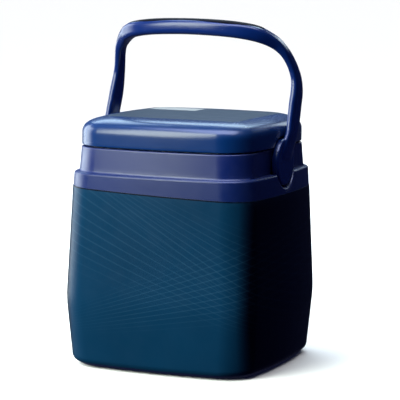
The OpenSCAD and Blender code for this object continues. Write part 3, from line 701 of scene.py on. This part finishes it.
def sweep(name, P, ns=48, e=0.62, lift=None):
    verts, faces = [], []
    m = len(P)
    for i, p in enumerate(P):
        a, b = P[max(0, i - 1)], P[min(m - 1, i + 1)]
        t = (Vector(b[:3]) - Vector(a[:3])).normalized()
        w = (Vector((0, 1, 0)) - t * t.y).normalized()
        n = t.cross(w)
        c = Vector(p[:3]) + n * (lift[i] if lift else 0.0)
        for j in range(ns):
            g = 2 * math.pi * j / ns
            cg, sg = math.cos(g), math.sin(g)
            v = c + w * (p[3] / 2 * math.copysign(abs(cg) ** e, cg)) + n * (p[4] / 2 * math.copysign(abs(sg) ** e, sg))
            verts.append(tuple(v))
    for i in range(m - 1):
        for j in range(ns):
            j2 = (j + 1) % ns
            faces.append((i * ns + j, i * ns + j2, (i + 1) * ns + j2, (i + 1) * ns + j))
    faces.append(tuple(range(ns - 1, -1, -1)))
    faces.append(tuple((m - 1) * ns + j for j in range(ns)))
    return make(name, verts, faces)


bail = sweep("bail", catmull(FULL, 7), e=0.56)
for s in (1, -1):
    prof = [(0, 105.5), (HUB_R - 1.2, 105.5), (HUB_R - 0.4, 105.8), (HUB_R, 106.6), (HUB_R, 111.2)]
    for k in range(1, 7):
        t = math.radians(15 * k)
        prof.append((HUB_R - 2.3 * (1 - math.cos(t)), 111.2 + 2.3 * math.sin(t)))
    prof.append((0, 113.5))
    prof = [(r, x * s) for r, x in prof]
    if s < 0:
        prof = list(reversed(prof))
    boolean(bail, lathe("hub", prof, seg=128, axis="X", at=(0, 0, PIVOT_Z)), "UNION")
rm = bail.modifiers.new("remesh", "REMESH")
rm.mode = "VOXEL"
rm.voxel_size = 0.0009
sm = bail.modifiers.new("soft", "SMOOTH")
sm.factor, sm.iterations = 0.5, 4
me = bpy.data.meshes.new_from_object(bail.evaluated_get(bpy.context.evaluated_depsgraph_get()))
bail.modifiers.clear()
bail.data = me
for s in (1, -1):
    boolean(bail, lathe("hole", [(0, 100 * s), (5.06, 100 * s), (5.06, 111.6 * s), (0, 111.6 * s)], seg=64, axis="X", at=(0, 0, PIVOT_Z)))
smooth(bail, 60, weighted=False)
dress(bail, "handle", "handle_blue", "handle", "handle_bail")

pad_path, pad_lift = [], []
for i in range(0, 82):
    x = 81 - 2 * i
    k = x / 72
    e = abs(x) / 81
    pad_path.append((x, -14.4 + 10.4 * k ** 4, 380.1 - 2.6 * k * k - 1.5 * k ** 4 - 0.35 * k ** 12,
                     (21 - 5 * abs(k) ** 6) * math.sqrt(max(0.03, 1 - e ** 22)), 5.2))
    pad_lift.append(0.9 * k ** 4 - 6.8)
pad = sweep("grip_strip", pad_path, ns=40, e=0.62, lift=pad_lift)
smooth(pad, 50)
dress(pad, "grip", "grip_black", "handle", "grip_pad")

# ------------------------------------------------------------------ inside: liner, lid's inner panel and seal
def liner_in(z):
    return 84.4 + (z - 32) * 7.1 / 215


lr = [(24.8, 79.5, 18), (25.3, 81.5, 19), (27, liner_in(27) + 0.6, 22), (29.5, 86.0, 23), (33, liner_in(33) + 2.2, 24), (120, liner_in(120) + 2.2, 24),
      (243.6, liner_in(244.9) + 2.2, 24), (244.9, 95.0, 24.6), (244.9, 101, 27), (NECK_Z - 0.5, 101, 27), (NECK_Z, 100.5, 26.7), (NECK_Z, 92.6, 22.6),
      (NECK_Z - 0.4, 91.8, 22.2), (NECK_Z - 1.4, liner_in(246), 22)]
for z in (230, 200, 160, 120, 80, 50, 40, 35):
    lr.append((z, liner_in(z), 22))
lr += [(32.0, liner_in(32) - 0.5, 21.5), (29.5, liner_in(29) - 1.8, 20), (27.8, 81.0, 19), (27.0, 77.5, 17)]
liner = loft("reservoir_liner", lr)
for px in (-30, -6):
    boolean(liner, lathe("hole", [(0, 80), (6, 80), (6, 110), (0, 110)], seg=48, axis="Y", at=(px, 0, 229)))
boolean(liner, lathe("hole", [(0, 80), (3.6, 80), (3.6, 110), (0, 110)], seg=48, axis="Y", at=(20, 0, 229)))
smooth(liner)
dress(liner, "liner", "liner_white", "base", "inner_liner")

ip = [(236, 79, 17), (236.3, 81.5, 18.5), (237.2, 83.8, 20), (239, 87, 22), (249.4, 87.5, 22), (250.2, 88.3, 22.4), (250.2, 104.6, 27.4), (250.6, 105.0, 27.6),
      (252.4, 105.0, 27.6), (252.6, 104.8, 27.5), (252.6, 85.4, 20.4), (241, 85, 20.4), (238.2, 80.6, 17)]
inner = loft("lid_inner", ip)
cut = lathe("cut", [(0, 101), (RECESS_R + 2.7, 101), (RECESS_R + 2.7, 130), (0, 130)], seg=96, axis="X", at=(0, 0, PIVOT_Z))
cut2 = mirrored(cut, "cut2")
boolean(inner, cut)
boolean(inner, cut2)
smooth(inner)
dress(inner, "liner", "liner_white", "lid", "lid_inner_panel")

gk = [(NECK_Z + 0.1, 95.0, 24.2), (NECK_Z + 0.1, 96.6, 25.0), (NECK_Z + 0.6, 98.0, 25.8), (NECK_Z + 1.6, 98.5, 26), (250.1, 98.2, 26), (250.1, 93.4, 23),
      (NECK_Z + 1.6, 93.1, 23), (NECK_Z + 0.6, 93.5, 23.4)]
seal = loft("lid_seal", gk, closed=True)
smooth(seal, 60)
dress(seal, "rubber", "rubber_black", "lid", "lid_gasket")

# coil spring under the release button
SPRING_X, SPRING_Y, SPRING_R, WIRE, TURNS = -18.0, 116.1, 1.35, 0.3, 5
cv, cf = [], []
for i in range(TURNS * 36 + 1):
    t = math.radians(10 * i)
    z = lerp(226.4, 235.8, i / (TURNS * 36))
    for j in range(10):
        g = 2 * math.pi * j / 10
        r = SPRING_R + WIRE * math.cos(g)
        cv.append((SPRING_X + r * math.cos(t), SPRING_Y + r * math.sin(t), z + WIRE * math.sin(g)))
for i in range(TURNS * 36):
    for j in range(10):
        j2 = (j + 1) % 10
        cf.append((i * 10 + j, i * 10 + j2, (i + 1) * 10 + j2, (i + 1) * 10 + j))
cf.append(tuple(range(9, -1, -1)))
cf.append(tuple(TURNS * 360 + j for j in range(10)))
coil = make("button_coil", cv, cf)
smooth(coil, 50, weighted=False)
dress(coil, "steel", "steel", "base", "button_spring")
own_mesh(coil)

# ------------------------------------------------------------------ CAD nodes that keep their shape
LOOK = {"insulation_foam": "foam", "collar_screws": "steel", "rubber_feet": "rubber", "pivot_pins": "steel", "pivot_washers": "natural",
        "lid_foam": "foam", "hose_coupling": "coupling", "port_barbs": "natural", "port_o_rings": "rubber", "coupling_screws": "steel", "release_button": "button",
        "dc_jack": "coupling", "jack_nut": "steel", "pump_cable": "rubber", "strainer_cage": "pump",
        "filter_foam": "filter", "volute_cover": "pump", "pump_housing": "pump", "pump_cap": "pump", "motor_stator": "copper",
        "pump_shaft": "ceramic", "impeller": "natural", "pump_screws": "steel", "pump_bracket": "steel", "supply_tube": "tube",
        "return_tube": "tube", "tube_grommets": "rubber"}
BEVEL = {"rubber_feet": 0.0006, "hose_coupling": 0.0006, "release_button": 0.0004, "dc_jack": 0.0004, "strainer_cage": 0.0005, "volute_cover": 0.0005,
         "pump_housing": 0.0006, "pump_cap": 0.0006, "pump_bracket": 0.0003, "tube_grommets": 0.0004, "pivot_pins": 0.0004,
         "collar_screws": 0.0003, "jack_nut": 0.0003, "port_barbs": 0.0003}
for name, look in LOOK.items():
    ob = nodes[name]
    ob.data.materials.clear()
    ob.data.materials.append(M[look])
    if name in BEVEL:
        wd = ob.modifiers.new("weld", "WELD")
        wd.merge_threshold = 0.000004
        bv = ob.modifiers.new("edges", "BEVEL")
        bv.width, bv.segments, bv.limit_method, bv.angle_limit = BEVEL[name], 2, "ANGLE", math.radians(40)
        bv.use_clamp_overlap = True
        wn = ob.modifiers.new("normals", "WEIGHTED_NORMAL")
        wn.keep_sharp = True

# ------------------------------------------------------------------ studio
def plane(name, hx, hy, at):
    v = [(-hx, -hy, 0), (hx, -hy, 0), (hx, hy, 0), (-hx, hy, 0)]
    ob = make(name, [(x + at[0], y + at[1], z + at[2]) for x, y, z in v], [(0, 1, 2, 3)])
    return ob


floor = plane("floor", 60000, 60000, (0, 0, 0))
floor.visible_diffuse = False
floor.visible_glossy = False
floor.visible_shadow = False
fm = bpy.data.materials.new("floor_pale")
fm.use_nodes = True
fb = next(n for n in fm.node_tree.nodes if n.type == "BSDF_PRINCIPLED")
fb.inputs["Base Color"].default_value = (0.985, 0.972, 0.95, 1)
fb.inputs["Roughness"].default_value = 0.9
fb.inputs["Specular IOR Level"].default_value = 0.1
floor.data.materials.append(fm)

world = bpy.data.worlds.new("studio")
scene.world = world
world.use_nodes = True
wt = world.node_tree
bg = next(n for n in wt.nodes if n.type == "BACKGROUND")
bg.inputs["Strength"].default_value = 1.0
wc = node(wt, "ShaderNodeTexCoord")
ws = node(wt, "ShaderNodeSeparateXYZ")
wt.links.new(wc.outputs["Generated"], ws.inputs[0])
lp = node(wt, "ShaderNodeLightPath")
# dim and blue on the right, lighter on the left and above
side = remap(wt, ws.outputs[0], -1.0, 0.3, 0.0, 1.0)
amb = mix_col(wt, side, (0.10, 0.11, 0.12), (0.008, 0.011, 0.060))
above = remap(wt, ws.outputs[2], 0.3, 1.0, 0.0, 1.0)
amb = mix_col(wt, above, amb, (0.09, 0.10, 0.12))
wmix = mix_col(wt, lp.outputs["Is Camera Ray"], amb, (1.0, 1.0, 1.0))
wt.links.new(wmix, bg.inputs["Color"])


def area(name, at, aim, sx, sy, watts, color=(1, 1, 1), roll=0.0):
    d = bpy.data.lights.new(name, "AREA")
    d.shape, d.size, d.size_y, d.energy, d.color = "RECTANGLE", sx, sy, watts, color
    o = bpy.data.objects.new(name, d)
    scene.collection.objects.link(o)
    o.location = at
    turn = (Vector(aim) - Vector(at)).to_track_quat("-Z", "Y").to_matrix() @ Matrix.Rotation(math.radians(roll), 3, "Z")
    o.rotation_euler = turn.to_euler()
    o.visible_camera = False
    return o


area("softbox_front_left", (-0.90, -1.875, 1.34), (0, 0, 0.28), 1.26, 2.05, 94, (0.91, 1.0, 0.92), -8)
area("softbox_left", (-2.1, -0.34, 0.55), (0, 0, 0.25), 0.6, 1.75, 14, (0.85, 0.93, 1.0))
area("softbox_rim_left", (-2.2, 0.45, 0.55), (0, 0, 0.25), 1.3, 1.9, 42, (0.80, 0.92, 1.0))
area("softbox_back_left", (-0.75, 1.55, 1.80), (0, 0, 0.28), 1.9, 1.1, 34, (0.62, 0.84, 1.0))
area("softbox_back", (0.35, 2.4, 1.15), (0, 0, 0.3), 0.7, 0.4, 3.2, (0.75, 0.9, 1.0))
over = area("softbox_over", (0.25, -0.45, 2.5), (0, 0, 0.38), 2.4, 1.7, 120, (0.64, 0.71, 1.0))
over.visible_diffuse = False
sun = bpy.data.lights.new("overhead", "SUN")
sun.energy, sun.angle, sun.color = 3.5, math.radians(115), (0.97, 0.985, 1.0)
so = bpy.data.objects.new("overhead", sun)
scene.collection.objects.link(so)
so.rotation_euler = Vector((0.45, -0.06, -0.89)).to_track_quat("-Z", "Y").to_euler()
so.visible_glossy = False
